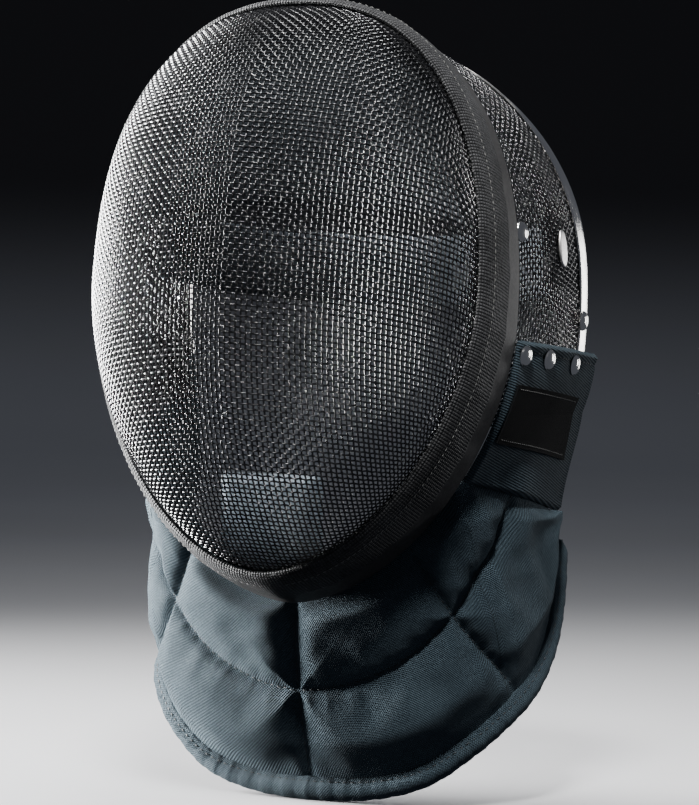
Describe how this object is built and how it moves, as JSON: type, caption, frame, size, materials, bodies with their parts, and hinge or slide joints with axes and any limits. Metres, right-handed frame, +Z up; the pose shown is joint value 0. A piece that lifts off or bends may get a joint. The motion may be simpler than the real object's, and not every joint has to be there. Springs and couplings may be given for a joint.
{
  "type": "fencing mask",
  "caption": "Fencing mask: domed wire front, wire crown and sides with a steel strip, cloth-bound rim, quilted bib with a rolled hem, side flaps, liner pads and a back strap.",
  "frame": {"origin": "the seat of the head: the inside of the crown, on the middle plane, where the wearer's head meets the mask", "axes": "+Z up as worn, -Y the way the face looks, +X the wearer's left"},
  "size_m": [0.2506, 0.232, 0.4203],
  "materials": {
    "wire_mesh": "black enamelled woven wire",
    "trim": "black woven tape over the rim",
    "steel": "polished bright steel",
    "bib_cloth": "dark slate twill over padding",
    "label": "black woven label, left bare",
    "padding": "grey lining cloth over foam",
    "chin_cloth": "pale blue lining cloth over foam",
    "elastic": "wide grey elastic"
  },
  "bodies": {
    "root": {"front_mesh": "wire_mesh", "rear_mesh": "wire_mesh", "rim_binding": "trim", "rear_strip": "steel", "bib": "bib_cloth", "bib_hem": "bib_cloth", "side_flap_left": "bib_cloth", "side_flap_right": "bib_cloth", "label": "label", "trim_rivet_left": "steel", "trim_rivet_right": "steel", "rear_rivet_left": "steel", "rear_rivet_right": "steel", "strap_disc_left": "steel", "strap_disc_right": "steel", "flap_rivet_1_left": "steel", "flap_rivet_1_right": "steel", "flap_rivet_2_left": "steel", "flap_rivet_2_right": "steel", "flap_rivet_3_left": "steel", "flap_rivet_3_right": "steel", "forehead_pad": "padding", "chin_pad": "chin_cloth", "back_strap": "elastic"}
  },
  "joints": []
}
